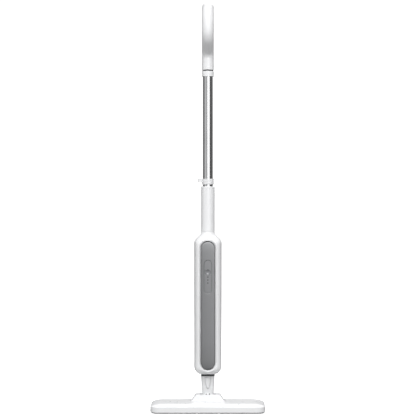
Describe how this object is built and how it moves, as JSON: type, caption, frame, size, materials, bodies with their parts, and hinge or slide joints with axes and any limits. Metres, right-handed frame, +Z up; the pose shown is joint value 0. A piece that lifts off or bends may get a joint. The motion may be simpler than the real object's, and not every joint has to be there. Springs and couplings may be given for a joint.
{
  "type": "steam mop",
  "caption": "Upright steam floor scrubber with a looped handle on a steel tube, a slim tank body with a grey control panel, a jointed neck and a flat rounded pad head.",
  "frame": {"origin": "on the floor, under the middle of the cleaning head", "axes": "+Z up along the tube, +X along the cleaning head's length, -Y out of the front that carries the control panel"},
  "size_m": [0.326, 0.16, 1.1714],
  "materials": {
    "white_plastic": "glossy white moulded plastic",
    "pale_cover": "glossy white moulded plastic, a shade greyer",
    "pale_grey_plastic": "glossy pale grey moulded plastic",
    "neck_plastic": "glossy off-white moulded plastic",
    "base_plastic": "satin pale grey moulded plastic",
    "grey_panel": "satin grey moulded plastic",
    "insert_grey": "satin grey moulded plastic",
    "button_grey": "semi-gloss grey moulded plastic",
    "lens": "smoked light-guide plastic",
    "microfibre": "short-pile white microfibre",
    "hook_tape": "self-gripping hook tape",
    "tank_plastic": "translucent blue-grey plastic",
    "steel_tube": "polished stainless tube",
    "dark_rubber": "matt dark rubber",
    "bush_rubber": "matt pale grey rubber",
    "soft_silicone": "milky silicone rubber",
    "screw_steel": "zinc-plated screws",
    "dark_screw": "blackened screws",
    "pin_steel": "bright steel pins and springs",
    "bearing_plastic": "natural acetal",
    "nozzle_brass": "machined brass",
    "cast_aluminium": "as-cast aluminium",
    "guard_steel": "pressed steel",
    "pump_case": "black moulded plastic",
    "board_green": "green circuit board",
    "switch_black": "black moulded plastic"
  },
  "bodies": {
    "head": {"head_cover": "white_plastic", "head_base": "base_plastic", "head_screws": "screw_steel", "mop_pad": "microfibre", "hook_strips": "hook_tape", "steam_nozzle": "nozzle_brass", "pivot_blocks": "bearing_plastic", "tilt_pins": "pin_steel"},
    "yoke": {"yoke": "white_plastic", "yoke_cover": "pale_cover", "roll_pins": "pin_steel", "ear_screws": "dark_screw", "joint_hose": "soft_silicone"},
    "body": {"neck_front_shell": "neck_plastic", "neck_rear_shell": "neck_plastic", "neck_seal": "dark_rubber", "neck_steam_tube": "soft_silicone", "release_spring": "pin_steel", "body_front_shell": "white_plastic", "body_rear_shell": "white_plastic", "body_screws": "screw_steel", "front_panel": "grey_panel", "control_insert": "insert_grey", "indicator_lenses": "lens", "control_board": "board_green", "push_switch": "switch_black", "boiler": "cast_aluminium", "boiler_terminals": "nozzle_brass", "thermal_guards": "guard_steel", "pump": "pump_case", "pump_mounts": "dark_rubber", "tank_receiver": "bearing_plastic", "water_hose": "soft_silicone", "pump_hose": "soft_silicone", "steam_hose": "soft_silicone", "cord_inlet_bush": "bush_rubber", "tube_socket": "white_plastic", "steel_tube": "steel_tube", "lock_spring": "pin_steel", "handle_collar": "white_plastic", "handle_gasket": "dark_rubber", "handle_outer_shell": "white_plastic", "handle_inner_shell": "white_plastic", "handle_screws": "screw_steel"},
    "release_button": {"release_button": "pale_grey_plastic"},
    "mode_button": {"mode_button": "button_grey"},
    "tank": {"water_tank": "tank_plastic", "tank_valve": "bearing_plastic"},
    "tank_cap": {"tank_cap": "pale_grey_plastic", "cap_seal": "soft_silicone"},
    "tube_lock_button": {"tube_lock_button": "bearing_plastic"},
    "cord_clip": {"cord_clip": "white_plastic"}
  },
  "joints": [
    {"name": "tilt", "type": "hinge", "parent": "head", "child": "yoke", "pos_m": [0, 0, 0.02], "axis": [-1, 0, 0], "range_deg": [0, 58], "deforming": ["joint_hose"]},
    {"name": "roll", "type": "hinge", "parent": "yoke", "child": "body", "pos_m": [0, 0, 0.042], "axis": [0, 1, 0], "range_deg": [-30, 30]},
    {"name": "release_press", "type": "slide", "parent": "body", "child": "release_button", "axis": [0, 1, 0], "range_m": [0, 0.0015], "stiffness_N_per_m": 400, "springref_m": -0.002, "deforming": ["release_spring"]},
    {"name": "mode_press", "type": "slide", "parent": "body", "child": "mode_button", "axis": [0, 1, 0], "range_m": [0, 0.0012], "stiffness_N_per_m": 600, "springref_m": -0.001},
    {"name": "tank_pull", "type": "slide", "parent": "body", "child": "tank", "axis": [0, 1, 0], "range_m": [0, 0.06]},
    {"name": "cap_turn", "type": "hinge", "parent": "tank", "child": "tank_cap", "pos_m": [0, 0.048, 0.404], "axis": [0, 1, 0], "range_deg": [0, 90]},
    {"name": "lock_press", "type": "slide", "parent": "body", "child": "tube_lock_button", "axis": [0, -1, 0], "range_m": [0, 0.0064], "stiffness_N_per_m": 800, "springref_m": -0.002, "deforming": ["lock_spring"]},
    {"name": "clip_turn", "type": "hinge", "parent": "body", "child": "cord_clip", "pos_m": [0, 0, 0.656], "axis": [0, 0, 1], "continuous": true}
  ]
}
